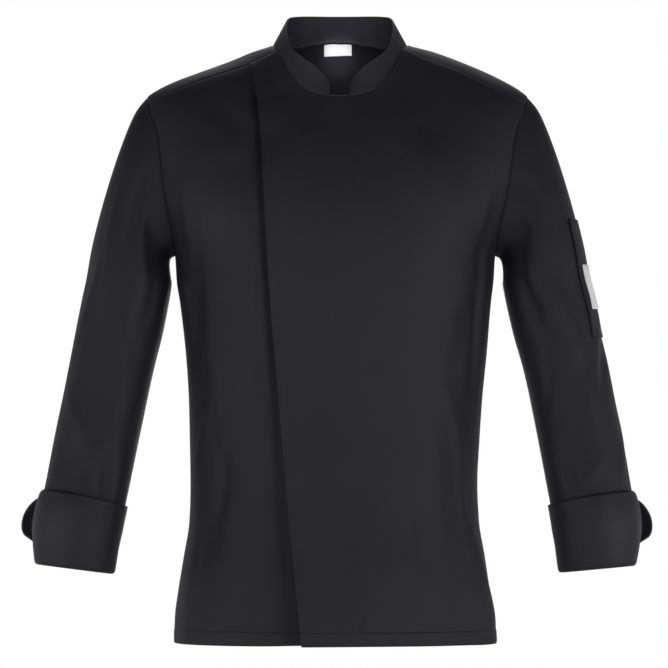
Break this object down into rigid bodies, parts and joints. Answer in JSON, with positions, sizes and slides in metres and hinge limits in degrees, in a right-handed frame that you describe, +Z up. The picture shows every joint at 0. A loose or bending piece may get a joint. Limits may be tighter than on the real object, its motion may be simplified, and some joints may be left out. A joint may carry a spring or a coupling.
{
  "type": "chef jacket",
  "caption": "Long-sleeved black chef jacket with a stand collar, a slanted overlapping front with a hidden closure, turned-back cuffs and a sleeve pocket, open at neck, hem and cuffs.",
  "frame": {"origin": "Where the wearer holds the jacket: on the middle plane of the body, level with the two points where the shoulders meet the neck.", "axes": "+X to the wearer's left, +Z up, and the front faces -Y."},
  "size_m": [0.8015, 0.2645, 0.8049],
  "materials": {
    "jacket_cloth": "fine twill, matt",
    "label_cloth": "woven label, plain"
  },
  "bodies": {
    "root": {"outer_front": "jacket_cloth", "under_front": "jacket_cloth", "back": "jacket_cloth", "yoke": "jacket_cloth", "collar": "jacket_cloth", "right_sleeve": "jacket_cloth", "left_sleeve": "jacket_cloth", "right_cuff": "jacket_cloth", "left_cuff": "jacket_cloth", "sleeve_pocket": "jacket_cloth", "sleeve_label": "label_cloth", "neck_label": "label_cloth"}
  },
  "joints": []
}
